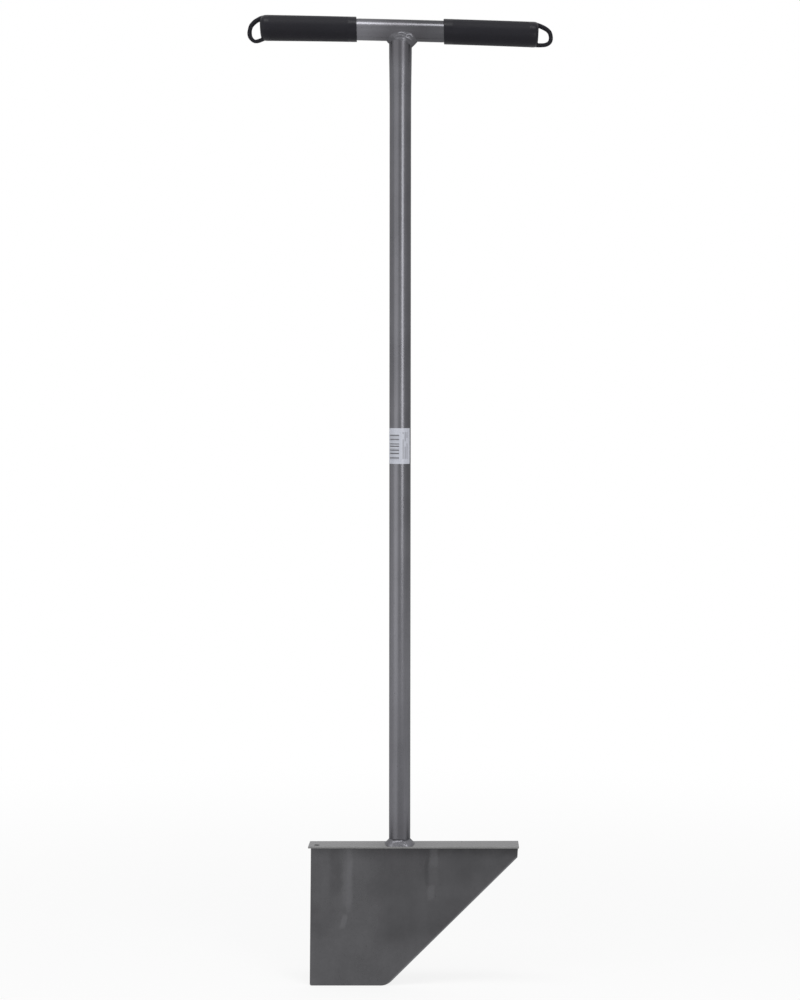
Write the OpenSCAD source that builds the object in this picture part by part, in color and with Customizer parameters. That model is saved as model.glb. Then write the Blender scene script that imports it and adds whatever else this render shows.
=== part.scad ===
// Lawn edger: a flat steel blade under a narrow tread, welded to a long tube that
// carries a cross tube with a push-on grip and a hanging eye at each end.
// The origin is on the shaft axis, level with the bottom edge of the blade.
// X runs to the right along the tread, Y to the back and Z up the shaft.

/* [Tubes] */
// outside diameter of the shaft and the cross tube
tube_d = 22; // [18:0.5:26]
// wall thickness of both tubes
tube_wall = 2; // [1:0.1:3]
// height of the cross tube's axis above the top of the tread
shaft_rise = 846.5; // [600:0.5:1200]
// length of the cross tube
bar_len = 281; // [250:1:360]
// lean of the cross tube out of square, right end low, as it was welded
bar_lean = 1.4; // [0:0.1:3]

/* [Tread] */
// length of the tread from left to right
tread_len = 219; // [200:1:260]
// depth of the tread from front to back
tread_depth = 32; // [28:0.5:50]
// thickness of the tread
tread_t = 2; // [1.5:0.1:5]
// distance from the left end of the tread to the shaft axis
shaft_from_left = 94.5; // [70:0.5:120]
// diameter of the hanging hole in the tread
hole_d = 5.5; // [4:0.5:8]
// distance from the left end of the tread to the hole
hole_from_left = 8; // [6:0.5:14]
// distance from the front of the tread to the hole
hole_from_front = 9; // [6:0.5:10]

/* [Blade] */
// strip of tread that stands past each end of the blade
blade_inset = 0.7; // [0:0.1:5]
// height of the blade below the tread
blade_h = 148; // [100:1:200]
// thickness of the blade
blade_t = 2; // [1.5:0.1:3]
// length of the flat bottom edge, up to the slanted edge
toe_len = 80.5; // [50:0.5:120]
// height of the short upright edge at the right
heel_h = 12; // [5:0.5:40]
// radius of the tip between the bottom edge and the slanted edge
toe_r = 16; // [4:1:30]
// radius of the bottom left corner
corner_r = 2; // [0.5:0.5:10]

/* [Grips] */
// thickness of a grip round the cross tube
grip_wall = 2.15; // [1.25:0.05:5]
// length of a grip from its inner lip to its closed end
grip_len = 98.5; // [80:0.5:105]
// thickness of the closed end, which butts on the cross tube
grip_cap = 3; // [2:0.5:6]
// gap between the bore of a grip and the cross tube
grip_gap = 0.05; // [0.02:0.01:0.3]
// length of the smooth band at each end of a grip
band_len = 9; // [5:0.5:15]
// how far the textured middle lies below the bands
field_depth = 0.1; // [0.1:0.1:0.5]
// bevel round both ends of a grip
grip_bevel = 0.8; // [0.2:0.1:1.2]

/* [Hanging eyes] */
// diameter of the cord that forms an eye
eye_d = 4.4; // [3:0.2:6]
// reach of an eye past the closed end of its grip
eye_reach = 14.4; // [13:0.2:20]
// how far the nose of an eye lies below the grip axis
eye_drop = 2.8; // [1:0.2:4]
// slope of the upper side of an eye
eye_slope = 26; // [20:1:30]
// how far the roots of an eye lie inside the rim of the grip
eye_inset = 0.2; // [0.1:0.1:1]
// step down in the cord of an eye where one stretch of it runs out of the one before
eye_step = 0.05; // [0.02:0.01:0.1]

/* [Welds] */
// reach of the foot weld over the tread, left and right of the shaft
foot_leg = 5; // [3:0.1:7]
// climb of the foot weld up the shaft
foot_climb = 5.6; // [3:0.1:8]
// strip of tread left bare in front of the foot weld and behind it
foot_margin = 0.3; // [0.1:0.1:1]
// reach of the weld under the cross tube on the left
tee_leg_left = 3.2; // [2:0.1:6]
// reach of the weld under the cross tube on the right
tee_leg_right = 7; // [3:0.1:8]
// reach of the stitch welds between the tread and the blade
stitch_leg = 3; // [2:0.1:5]
// length of a stitch weld
stitch_len = 24; // [15:1:30]
// distance from the left end of the tread to the middle of the first stitch weld
stitch_from_left = 41.5; // [35:0.5:45]
// distance between the middles of the two stitch welds on a side
stitch_pitch = 89; // [60:1:110]
// gap between a weld bead and the tube that it runs round, and in the coped joint
weld_gap = 0.05; // [0.03:0.01:0.2]
// height of the ripples in the welds
ripple = 0.22; // [0:0.02:0.4]

/* [Label] */
// height of the label's lower edge above the tread
label_rise = 399; // [100:1:480]
// height of the label
label_h = 37; // [20:1:60]
// length of the label round the shaft
label_w = 45; // [20:1:50]
// angle from the front of the shaft round to the label's right edge
label_turn = 66; // [0:1:90]
// thickness of the label
label_t = 0.15; // [0.1:0.05:0.3]
// gap between the label and the shaft
label_gap = 0.02; // [0.01:0.01:0.1]

/* [Hidden] */
$fn = 96;
tube_r = tube_d / 2;
bore_r = tube_r - tube_wall;
tread_top = blade_h + tread_t;
tread_left = -shaft_from_left;
blade_left = tread_left + blade_inset;
blade_w = tread_len - 2 * blade_inset;
bar_z = tread_top + shaft_rise;
// the thin ears of the coped shaft end are cut off where the bore meets the cross tube
ear_drop = sqrt(tube_r * tube_r - bore_r * bore_r);
shaft_top = bar_z - ear_drop;
grip_bore_r = tube_r + grip_gap;
grip_r = grip_bore_r + grip_wall;
grip_end = bar_len / 2 + grip_cap;
// the centre line of an eye leaves the grip just inside its rim, above and below the axis,
// and its two bends are as wide as the way round the nose leaves room for
eye_r = eye_d / 2;
eye_turn = 90 - eye_slope;
eye_up = grip_r - grip_bevel - eye_inset - eye_r / cos(eye_slope);
eye_low = grip_r - eye_inset - eye_r;
nose_x = eye_reach - eye_r;
eye_low_r = eye_low - eye_drop;
eye_top_r = (eye_up + eye_drop - nose_x * tan(eye_slope))
            / (sin(eye_turn) - (1 - cos(eye_turn)) * tan(eye_slope));
// each stretch of an eye starts inside the one before, as far back as the step keeps it covered
eye_lap = sqrt(eye_step * eye_low_r);
weld_r = tube_r + weld_gap;
steel = [0.46, 0.46, 0.47];
bead = [0.55, 0.55, 0.57];
black = [0.12, 0.12, 0.13];
pale = [0.85, 0.86, 0.88];

function at(angle, radius, z) = [radius * cos(angle), radius * sin(angle), z];
function arc(centre, radius, from, to, steps) =
    [for (i = [0:steps]) centre + radius * [cos(from + (to - from) * i / steps),
                                            sin(from + (to - from) * i / steps)]];
function mix(a, b, share) = a + (b - a) * share;

// a bead swept through a list of outlines, joined to a ring or closed at both ends
module swept(outlines, ring) {
    count = len(outlines);
    sides = len(outlines[0]);
    runs = ring ? count : count - 1;
    walls = [for (i = [0:runs - 1], j = [0:sides - 1])
        let (here = i * sides, next = ((i + 1) % count) * sides, k = (j + 1) % sides)
        each [[here + j, next + j, next + k], [here + j, next + k, here + k]]];
    caps = ring ? [] : [[for (j = [0:sides - 1]) j],
                        [for (j = [0:sides - 1]) count * sides - 1 - j]];
    polyhedron([for (outline = outlines) each outline], concat(walls, caps), convexity = 4);
}

// the crescent shaped ripples of a bead, at a run along it and a share of its face
function scale_mark(run, share) = ripple * sin(run + 90 * sin(180 * share));

module on_bar() {
    translate([0, 0, bar_z])
        rotate([0, bar_lean, 0])
            children();
}

module tube(length) {
    difference() {
        cylinder(r = tube_r, h = length);
        translate([0, 0, -1])
            cylinder(r = bore_r, h = length + 2);
    }
}

module shaft_tube() {
    color(steel)
        difference() {
            translate([0, 0, tread_top])
                tube(shaft_top - tread_top);
            on_bar()
                rotate([0, 90, 0])
                    cylinder(r = tube_r + weld_gap, h = 4 * tube_d, center = true);
        }
}

module cross_tube() {
    color(steel)
        on_bar()
            translate([-bar_len / 2, 0, 0])
                rotate([0, 90, 0])
                    tube(bar_len);
}

module grip_sleeve() {
    field_r = grip_r - field_depth;
    rotate([0, 90, 0])
        rotate_extrude()
            polygon([[grip_bore_r, -grip_len],
                     [grip_r - grip_bevel, -grip_len],
                     [grip_r, grip_bevel - grip_len],
                     [grip_r, band_len - grip_len],
                     [field_r, band_len - grip_len],
                     [field_r, -band_len],
                     [grip_r, -band_len],
                     [grip_r, -grip_bevel],
                     [grip_r - grip_bevel, 0],
                     [0, 0],
                     [0, -grip_cap],
                     [grip_bore_r, -grip_cap]]);
}

module eye_bend(radius, from, angle, cord_r) {
    rotate([90, 0, 0])
        rotate([0, 0, from])
            rotate_extrude(angle = angle)
                translate([radius, 0])
                    circle(r = cord_r);
}

// the upper side runs straight down to a wide bend, the nose and a tighter bend below
module hanging_eye() {
    top_x = nose_x - eye_top_r * (1 - cos(eye_turn));
    root = grip_cap / 2;
    nose_lap = eye_lap / eye_low_r * 180 / PI;
    translate([nose_x - eye_top_r, 0, -eye_drop])
        eye_bend(eye_top_r, 0, eye_turn, eye_r);
    translate([top_x, 0, eye_top_r * sin(eye_turn) - eye_drop])
        rotate([0, -eye_turn, 0])
            translate([0, 0, -eye_lap])
                cylinder(r = eye_r - eye_step, h = (top_x + root) / cos(eye_slope) + eye_lap);
    translate([nose_x - eye_low_r, 0, -eye_drop])
        eye_bend(eye_low_r, -90, 90 + nose_lap, eye_r - eye_step);
    translate([-root, 0, -eye_low])
        rotate([0, 90, 0])
            cylinder(r = eye_r - 2 * eye_step, h = nose_x - eye_low_r + root + eye_lap);
}

module grip() {
    translate([grip_end, 0, 0]) {
        grip_sleeve();
        hanging_eye();
    }
}

module right_grip() {
    color(black)
        on_bar()
            grip();
}

module left_grip() {
    color(black)
        on_bar()
            rotate([0, 0, 180])
                grip();
}

module tread_plate() {
    color(steel)
        difference() {
            translate([tread_left, -tread_depth / 2, blade_h])
                cube([tread_len, tread_depth, tread_t]);
            translate([tread_left + hole_from_left, hole_from_front - tread_depth / 2, blade_h - 1])
                cylinder(d = hole_d, h = tread_t + 2);
        }
}

module blade() {
    right = blade_left + blade_w;
    slant = atan2(blade_h - heel_h, blade_w - toe_len);
    tip = toe_r * tan(slant / 2);
    outline = concat([[blade_left, blade_h]],
                     arc([blade_left + corner_r, corner_r], corner_r, 180, 270, 6),
                     arc([blade_left + toe_len - tip, toe_r], toe_r, 270, 270 + slant, 12),
                     [[right, blade_h - heel_h], [right, blade_h]]);
    color(steel)
        rotate([90, 0, 0])
            linear_extrude(height = blade_t, center = true)
                polygon(outline);
}

// the bead round the foot of the shaft is narrower in front and behind, where the tread ends
module foot_weld() {
    steps = 120;
    face = 5;
    front_leg = min(foot_leg, tread_depth / 2 - tube_r - foot_margin - ripple);
    color(bead)
        swept([for (i = [0:steps - 1])
            let (a = 360 * i / steps,
                 leg = mix(foot_leg, front_leg, pow(sin(a), 2)) * (1 + 0.04 * sin(3 * a + 50) - 0.04),
                 climb = foot_climb * (1 + 0.06 * sin(2 * a + 20)))
            concat([at(a, weld_r, tread_top), at(a, weld_r, tread_top + climb)],
                   [for (j = [1:face])
                       let (share = j / (face + 1),
                            swell = sin(180 * share) * (0.4 + scale_mark(26 * a, share)))
                       at(a, mix(weld_r, tube_r + leg, share) + 0.75 * swell,
                          tread_top + climb * (1 - share) + 0.65 * swell)],
                   [at(a, tube_r + leg, tread_top)])],
              true);
}

// a point on the cross tube, from its place along the tube and the angle round from below
function bar_point(x, turn) =
    let (z = -weld_r * cos(turn))
    [x * cos(bar_lean) + z * sin(bar_lean),
     weld_r * sin(turn),
     bar_z - x * sin(bar_lean) + z * cos(bar_lean)];

// height of the joint line on the shaft's outside, before the ears are cut off
function saddle(a) =
    bar_z - (tube_r * abs(cos(a)) + tube_r * cos(a) * sin(bar_lean)) / cos(bar_lean);

// one outline of the bead that fills the joint between the shaft and the cross tube
function tee_outline(a) =
    let (face = 5,
         side = sin(a) < 0 ? -1 : 1,
         cut = saddle(a) > shaft_top,
         edge = min(saddle(a), shaft_top),
         front = pow(sin(a), 2),
         leg = mix(tee_leg_left, tee_leg_right, (1 + cos(a)) / 2),
         ear_x = cut ? bore_r * cos(a) / abs(sin(a)) : 0,
         ear_turn = acos((ear_drop - weld_gap - ear_x * sin(bar_lean)) / weld_r / cos(bar_lean)),
         turn = cut ? side * ear_turn : asin(sin(a)),
         reach = cut ? weld_r * sin(ear_turn) / abs(sin(a)) : weld_r,
         root_x = reach * cos(a) * cos(bar_lean) - (edge - bar_z) * sin(bar_lean),
         climb = leg - 0.9 * front,
         rise = [for (j = [0:4])
             bar_point(root_x + climb * cos(a) * j / 4,
                       turn + climb * sin(a) * j / 4 / tube_r * 180 / PI)],
         low = at(a, weld_r, edge - leg * (0.9 + 0.2 * front)),
         out = [cos(a), sin(a), front - 1])
    concat(rise,
           [for (j = [1:face])
               let (share = j / (face + 1),
                    swell = sin(180 * share) * (0.3 + 0.7 * front + scale_mark(22 * a, share)))
               mix(rise[4], low, share) + out * swell],
           [low, at(a, weld_r, cut ? edge + weld_gap : edge - 0.2)]);

module tee_weld() {
    steps = 120;
    color(bead)
        swept([for (i = [0:steps - 1]) tee_outline(360 * i / steps)], true);
}

// one stitch in the corner under the tread, with rounded ends
module stitch() {
    steps = 32;
    face = 4;
    swept([for (i = [0:steps])
        let (along = i / steps - 0.5,
             size = stitch_leg * (0.35 + 0.65 * sqrt(1 - pow(2 * along, 4))))
        concat([[along * stitch_len, 0, 0], [along * stitch_len, -size, 0]],
               [for (j = [1:face])
                   let (share = j / (face + 1),
                        swell = sin(180 * share) * (0.3 + scale_mark(360 * 9 * along, share)))
                   [along * stitch_len, -size * (1 - share) - 0.7 * swell, -size * share - 0.7 * swell]],
               [[along * stitch_len, 0, -size]])],
          false);
}

module stitch_welds() {
    color(bead)
        for (turn = [0, 180], n = [0, 1])
            translate([tread_left + stitch_from_left + n * stitch_pitch, 0, blade_h])
                rotate([0, 0, turn])
                    translate([0, -blade_t / 2, 0])
                        stitch();
}

module label() {
    wrap = label_w / tube_r * 180 / PI;
    color(pale)
        translate([0, 0, tread_top + label_rise])
            rotate([0, 0, label_turn - 90 - wrap])
                rotate_extrude(angle = wrap)
                    translate([tube_r + label_gap, 0])
                        square([label_t, label_h]);
}

shaft_tube();
cross_tube();
left_grip();
right_grip();
tread_plate();
blade();
tee_weld();
foot_weld();
stitch_welds();
label();
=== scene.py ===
import math

import bmesh
import bpy
from mathutils import Matrix, Vector, noise


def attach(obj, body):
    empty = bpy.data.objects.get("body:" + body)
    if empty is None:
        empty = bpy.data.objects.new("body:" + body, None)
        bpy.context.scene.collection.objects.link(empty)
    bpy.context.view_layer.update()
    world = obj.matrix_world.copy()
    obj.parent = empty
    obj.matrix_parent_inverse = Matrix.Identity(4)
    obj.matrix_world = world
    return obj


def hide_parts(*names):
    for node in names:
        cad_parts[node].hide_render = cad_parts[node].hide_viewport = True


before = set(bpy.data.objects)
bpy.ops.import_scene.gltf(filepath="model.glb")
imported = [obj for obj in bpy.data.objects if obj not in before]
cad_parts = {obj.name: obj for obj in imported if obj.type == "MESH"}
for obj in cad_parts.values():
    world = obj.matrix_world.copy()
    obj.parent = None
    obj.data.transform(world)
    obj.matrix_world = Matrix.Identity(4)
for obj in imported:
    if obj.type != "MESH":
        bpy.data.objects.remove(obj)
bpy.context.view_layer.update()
scene = bpy.context.scene
mm = 0.001  # sizes below are in millimetres, meshes in metres
sameSpot = 1e-7  # points nearer than this, in metres, become one
print("frame loaded:", len(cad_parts), "nodes")

# main sizes of the tool, shared by its pieces
tool = {
    "tubeRadius": 11.0,
    "boreRadius": 9.0,
    "treadTop": 150.0,
    "barHeight": 996.4,
    "barLean": math.radians(1.4),
    "barBend": 4.6e-5,  # both ends of the bar droop, drawn down by the heat of the weld
    "barHalf": 140.5,
    "weldGap": 0.05,
    "earDrop": 6.325,  # the coped end of the shaft stops this far under the bar's axis
    "flareFrom": 920.0,  # from here up the shaft is pressed a little wider than deep
    "flareTo": 985.0,
    "flare": 0.058,
    "shaftLean": 0.00035,
    "coatSwell": 0.015,  # scale and lacquer make the open tube this much thicker
    "roundSteps": 144,
}
weldRadius = tool["tubeRadius"] + tool["weldGap"]
shaftTop = tool["barHeight"] - tool["earDrop"]
leanSin, leanCos = math.sin(tool["barLean"]), math.cos(tool["barLean"])


class Wire:
    # a shader socket that takes part in sums: each operator adds its Math node
    def __init__(self, tree, socket):
        self.tree = tree
        self.socket = socket

    def math(self, operation, first, second=0.0):
        made = self.tree.nodes.new("ShaderNodeMath")
        made.operation = operation
        for spot, value in zip(made.inputs, (first, second)):
            if isinstance(value, Wire):
                self.tree.links.new(value.socket, spot)
            else:
                spot.default_value = value
        return Wire(self.tree, made.outputs[0])

    def __add__(self, other):
        return self.math("ADD", self, other)

    def __radd__(self, other):
        return self.math("ADD", other, self)

    def __sub__(self, other):
        return self.math("SUBTRACT", self, other)

    def __rsub__(self, other):
        return self.math("SUBTRACT", other, self)

    def __mul__(self, other):
        return self.math("MULTIPLY", self, other)

    def __rmul__(self, other):
        return self.math("MULTIPLY", other, self)

    def __truediv__(self, other):
        return self.math("DIVIDE", self, other)

    def __rtruediv__(self, other):
        return self.math("DIVIDE", other, self)

    def __pow__(self, other):
        return self.math("POWER", self, other)

    def __gt__(self, other):
        return self.math("GREATER_THAN", self, other)

    def __abs__(self):
        return self.math("ABSOLUTE", self)

    def __floor__(self):
        return self.math("FLOOR", self)

    def atMost(self, other):
        return self.math("MINIMUM", self, other)

    def atLeast(self, other):
        return self.math("MAXIMUM", self, other)

    def angle(self, other):  # as atan2 in Python
        return self.math("ARCTAN2", self, other)


class Finish:
    # a node tree of a material or of the world, filled node by node
    def __init__(self, holder):
        holder.use_nodes = True
        self.holder = holder
        self.tree = holder.node_tree
        self.tree.nodes.clear()
        self.spot = self.node("ShaderNodeTexCoord", {}, {}, "Object")
        self.x, self.y, self.z = self.split(self.spot)

    def node(self, kind, settings, sockets, out=0):
        made = self.tree.nodes.new(kind)
        for name, value in settings.items():
            setattr(made, name, value)
        for name, value in sockets.items():
            if isinstance(value, Wire):
                self.tree.links.new(value.socket, made.inputs[name])
            else:
                made.inputs[name].default_value = value
        return Wire(self.tree, made.outputs[out]) if len(made.outputs) else None

    def split(self, vector):
        first = self.node("ShaderNodeSeparateXYZ", {}, {"Vector": vector})
        return [Wire(self.tree, socket) for socket in first.socket.node.outputs]

    def cloud(self, scale, detail, rough, stretch=None):
        where = self.spot
        if stretch:
            where = self.node("ShaderNodeVectorMath", {"operation": "MULTIPLY"}, {0: where, 1: stretch})
        return self.node("ShaderNodeTexNoise", {},
                         {"Vector": where, "Scale": scale, "Detail": detail, "Roughness": rough}, "Fac")

    def between(self, value, low, high):  # smooth step from 0 at low to 1 at high
        return self.node("ShaderNodeMapRange", {"interpolation_type": "SMOOTHSTEP"},
                         {"Value": value, "From Min": low, "From Max": high})

    def band(self, value, into=None, outOf=None, unit=mm):
        # 1 between two soft edges, each given by where its fade starts and ends
        mask = 1.0
        if into:
            mask = self.between(value, into[0] * unit, into[1] * unit)
        if outOf:
            mask = mask * (1 - self.between(value, outOf[0] * unit, outOf[1] * unit))
        return mask

    def near(self, point, inner, outer):  # 1 within inner of a point, 0 past outer
        gap = self.node("ShaderNodeVectorMath", {"operation": "DISTANCE"},
                        {0: self.spot, 1: [c * mm for c in point]}, "Value")
        return 1 - self.between(gap, inner * mm, outer * mm)

    def blend(self, amount, first, second, kind="MIX"):
        settings = {"data_type": "RGBA", "blend_type": kind}
        return self.node("ShaderNodeMix", settings, {0: amount, 6: first, 7: second}, 2)

    def bump(self, height, depth):
        return self.node("ShaderNodeBump", {}, {"Height": height, "Distance": depth * mm, "Strength": 1.0})

    def surface(self, sockets):
        shader = self.node("ShaderNodeBsdfPrincipled", {}, sockets)
        self.node("ShaderNodeOutputMaterial", {}, {"Surface": shader})
        return self.holder


def grey(level, tint=(1.0, 1.0, 1.0)):
    return (level * tint[0], level * tint[1], level * tint[2], 1.0)


def mix(first, second, share):
    return first + (second - first) * share


def fade(centre, soft):  # where a soft edge starts and ends
    return centre - soft, centre + soft


# lacquered mild steel: its tone follows the mill grain, the cloudy lacquer, dust, the heat of the welds and
# the light and shade painted onto each piece
# each cloud below has a scale, a detail and a roughness
steelLook = {
    "dark": 0.03,
    "light": 0.18,
    "tint": (1.0, 0.995, 1.09),
    "toneBase": 0.2,
    "toneGain": 0.6,
    "streaks": 0.25,  # how strongly the grain shows
    "lines": (1.0, 3, 0.6),
    "haze": (26, 4, 0.55),
    "hazeTone": 0.6,
    "hazeRough": 0.06,
    "peel": (420, 2, 0.5),
    "peelTone": 0.1,
    "dust": (760, 1, 0.4),
    "dustEdge": (0.71, 0.76),
    "dustShare": 0.4,
    "speck": 0.03,
    "heatTint": (0.062, 0.059, 0.065, 1.0),
    "heatMost": 0.7,
    "heatMean": 0.5,
    "heatHaze": 0.8,
    "metallic": 0.9,
    "roughness": 0.28,
    "unevenRough": 0.1,  # how far grain, heat, marks and painted light change the roughness
    "relief": 0.004,
    "lineRelief": 0.4,
    "peelRelief": 0.2,
    "rim": 0.5,  # how much of its shine the steel keeps at a grazing view
    "coat": 0.1,
    "coatRoughness": 0.22,
    "coatIndex": 1.45,
}
barLook = {**steelLook, "roughness": 0.25}
treadLook = {**steelLook, "tint": (1.0, 0.995, 1.05), "rim": 0.78, "relief": 0.012}
bladeLook = {**treadLook, "streaks": 0.07}
# where welding has heated the steel: how strongly, and how far out
hotSpots = [
    {"spot": (0, 0, tool["treadTop"]), "heat": 0.5, "reach": (17, 44)},
    {"spot": (0, 0, 990), "heat": 1.0, "reach": (15, 40)},
]


def steelFinish(name, piece, marksAndPaintedLight, look):
    steel = Finish(bpy.data.materials.new(name))
    lines = steel.cloud(*look["lines"], piece["grain"]) - 0.5
    haze = steel.cloud(*look["haze"]) - 0.5
    peel = steel.cloud(*look["peel"])
    dust = steel.between(steel.cloud(*look["dust"]), *look["dustEdge"])
    # each piece's own marks, with the light and shade painted onto it
    own = marksAndPaintedLight(steel)
    shade = piece["tone"] + look["streaks"] * lines + look["hazeTone"] * haze
    shade = shade + look["peelTone"] * (peel - 0.5) + own
    heat = sum(hot["heat"] * steel.near(hot["spot"], *hot["reach"]) for hot in hotSpots)
    heat = heat * (look["heatMean"] + look["heatHaze"] * haze)
    dark, light = [grey(look[level], look["tint"]) for level in ("dark", "light")]
    colour = steel.blend(look["toneBase"] + look["toneGain"] * shade, dark, light)
    colour = steel.blend(heat.atMost(look["heatMost"]), colour, look["heatTint"])
    colour = steel.blend(look["dustShare"] * dust, colour, grey(look["speck"]))
    rough = look["roughness"] + look["hazeRough"] * haze
    rough = rough + look["unevenRough"] * (look["streaks"] * lines + heat + own)
    height = look["lineRelief"] * look["streaks"] * lines + look["peelRelief"] * peel
    return steel.surface({
        "Base Color": colour, "Metallic": look["metallic"], "Roughness": rough,
        "Normal": steel.bump(height, look["relief"]), "Specular Tint": grey(look["rim"]),
        "Coat Weight": look["coat"], "Coat Roughness": look["coatRoughness"], "Coat IOR": look["coatIndex"]})


def paintedLightBands(steel, rows):
    # sum of soft bands of painted light and shade: fades into and out of each along x, then along z, and how
    # much paler it is
    marksAndPaintedLight = 0.0
    for intoX, outOfX, intoZ, outOfZ, tone in rows:
        marksAndPaintedLight = marksAndPaintedLight + tone * steel.band(steel.x, intoX, outOfX) * steel.band(steel.z, intoZ, outOfZ)
    return marksAndPaintedLight


# sheared edges of the sheets
edgeLook = {
    "dark": 0.12, "light": 0.26, "lines": (1.0, 3, 0.6), "grain": (300, 300, 1200), "haze": (40, 3, 0.5),
    # the near black below paints shade inside a punched hole
    "holeShade": 0.012, "holeShadeShare": 0.85, "metallic": 0.85, "lineRough": 0.2, "relief": 0.04,
    "coat": 0.2, "coatRoughness": 0.25,
}


def edgeFinish(name, rough, hole=None):
    edge = Finish(bpy.data.materials.new(name))
    lines = edge.cloud(*edgeLook["lines"], edgeLook["grain"])
    haze = edge.cloud(*edgeLook["haze"])
    colour = edge.blend(0.5 * (lines + haze), grey(edgeLook["dark"]), grey(edgeLook["light"]))
    if hole:  # painted shade inside a punched hole
        holeShaded = edgeLook["holeShadeShare"] * edge.near(hole["spot"], *hole["reach"])
        colour = edge.blend(holeShaded, colour, grey(edgeLook["holeShade"]))
    return edge.surface({
        "Base Color": colour, "Metallic": edgeLook["metallic"],
        "Roughness": rough + edgeLook["lineRough"] * lines, "Normal": edge.bump(lines, edgeLook["relief"]),
        "Coat Weight": edgeLook["coat"], "Coat Roughness": edgeLook["coatRoughness"]})


def buildMesh(name, points, faces):
    mesh = bpy.data.meshes.new(name)
    mesh.from_pydata([Vector(p) * mm for p in points], [], faces)
    form = bmesh.new()
    form.from_mesh(mesh)
    bmesh.ops.remove_doubles(form, verts=form.verts, dist=sameSpot)
    bmesh.ops.recalc_face_normals(form, faces=form.faces)
    form.to_mesh(mesh)
    form.free()
    return mesh


def addPiece(name, mesh, finishes, node, sharp):
    mesh.polygons.foreach_set("use_smooth", [True] * len(mesh.polygons))
    mesh.set_sharp_from_angle(angle=math.radians(sharp))
    piece = bpy.data.objects.new(name, mesh)
    scene.collection.objects.link(piece)
    for finish in finishes:
        mesh.materials.append(finish)
    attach(piece, "root")
    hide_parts(node)
    print("piece made:", name, len(mesh.polygons), "faces")
    return piece


def skin(outlines, ring):
    # closed outlines joined one to the next, as a ring or with both ends capped
    count, sides = len(outlines), len(outlines[0])
    points = [p for outline in outlines for p in outline]
    faces = []
    for i in range(count if ring else count - 1):
        here, there = i * sides, (i + 1) % count * sides
        for j in range(sides):
            k = (j + 1) % sides
            faces.append((here + j, there + j, there + k, here + k))
    if not ring:
        faces.append(tuple(range(sides)))
        faces.append(tuple(range((count - 1) * sides, count * sides)))
    return points, faces


def around(steps):
    return [2 * math.pi * i / steps for i in range(steps)]


def carriedRound(outlineAt, steps):  # the outline depends on the angle
    return skin([outlineAt(turn) for turn in around(steps)], True)


def carriedAlong(outlineAt, steps):  # the outline depends on the share of the way, 0 to 1
    return skin([outlineAt(i / steps) for i in range(steps + 1)], False)


def joined(*meshes):
    # several (points, faces) pairs as one
    points, faces = [], []
    for somePoints, someFaces in meshes:
        start = len(points)
        points += somePoints
        faces += [tuple(start + i for i in face) for face in someFaces]
    return points, faces


def onBar(x, y, z):  # from the cross tube's own axes to the tool's
    z = z - tool["barBend"] * x * x
    return Vector((x * leanCos + z * leanSin, y, tool["barHeight"] - x * leanSin + z * leanCos))


def onShaft(turn, radius, z):
    rise = min(1.0, max(0.0, (z - tool["flareFrom"]) / (tool["flareTo"] - tool["flareFrom"])))
    flare = tool["flare"] * rise * rise * (3 - 2 * rise)
    lean, reach = tool["shaftLean"] * (z - tool["treadTop"]), radius * (1 + tool["coatSwell"])
    return Vector((reach * (1 + flare) * math.cos(turn) + lean, reach * (1 - flare) * math.sin(turn), z))


# shaft: a tube with a coped top that fits under the cross tube
shaft = {
    "rings": 72, "grain": (900, 900, 7), "tone": 0.68, "sharp": 40,
    # the shaft's tone bands are painted reflections and shade, not marks of the steel
    "marksAndPaintedLight": [
        (None, None, None, (280, 500), 0.15),  # painted reflection: paler low down, more so on the left
        (None, (-6, 0), None, (280, 500), 0.14),
        ((2.5, 9), None, (330, 560), None, -0.42),  # painted shade: darker on the right of the upper half
        ((-11, -8), (-4.5, -1), (270, 400), (540, 650), 0.35),  # painted reflection: a paler band left of the middle
        ((-4, -1), (2.5, 5.5), None, (170, 330), -0.36),  # painted shade: a darker band in the middle near the foot
        ((-8, -4.5), (0, 3), (680, 850), None, -0.2),  # painted shade, near the top as well
    ],
}


def shaftEnd(radius, turn):
    dip = math.sqrt(weldRadius ** 2 - (radius * math.sin(turn)) ** 2)
    saddle = tool["barHeight"] - dip / leanCos - radius * math.cos(turn) * leanSin / leanCos
    return min(saddle, shaftTop)


def shaftOutline(turn):
    outline = []
    for radius, shares in ((tool["tubeRadius"], range(shaft["rings"] + 1)),
                           (tool["boreRadius"], range(shaft["rings"], -1, -1))):
        for share in shares:
            z = mix(tool["treadTop"], shaftEnd(radius, turn), share / shaft["rings"])
            outline.append(onShaft(turn, radius, z))
    return outline


addPiece(
    "shaftTube", buildMesh("shaftTube", *carriedRound(shaftOutline, tool["roundSteps"])),
    [steelFinish("shaftSteel", shaft, lambda steel: paintedLightBands(steel, shaft["marksAndPaintedLight"]), steelLook)],
    "shaft_tube", shaft["sharp"])

# cross tube, open at both ends under the grips
bar = {
    "rings": 92, "open": 43.5, "grain": (7, 900, 900), "tone": 0.62, "sharp": 40,
    # the bar's bands are painted light and shade
    "marksAndPaintedLight": [
        (None, (-24, -6), None, None, 0.3),  # painted light: paler to the left of the joint
        ((0, 22), None, None, None, -0.4),  # painted shade: darker to the right
    ],
}


def barOutline(turn):
    runs = [tool["barHalf"] * (2 * i / bar["rings"] - 1) for i in range(bar["rings"] + 1)]
    coated = tool["tubeRadius"] * (1 + tool["coatSwell"])  # between the grips
    outer = [(run, coated if abs(run) < bar["open"] else tool["tubeRadius"]) for run in runs]
    inner = [(run, tool["boreRadius"]) for run in runs[::-1]]
    return [onBar(run, radius * math.cos(turn), radius * math.sin(turn)) for run, radius in outer + inner]


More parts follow.
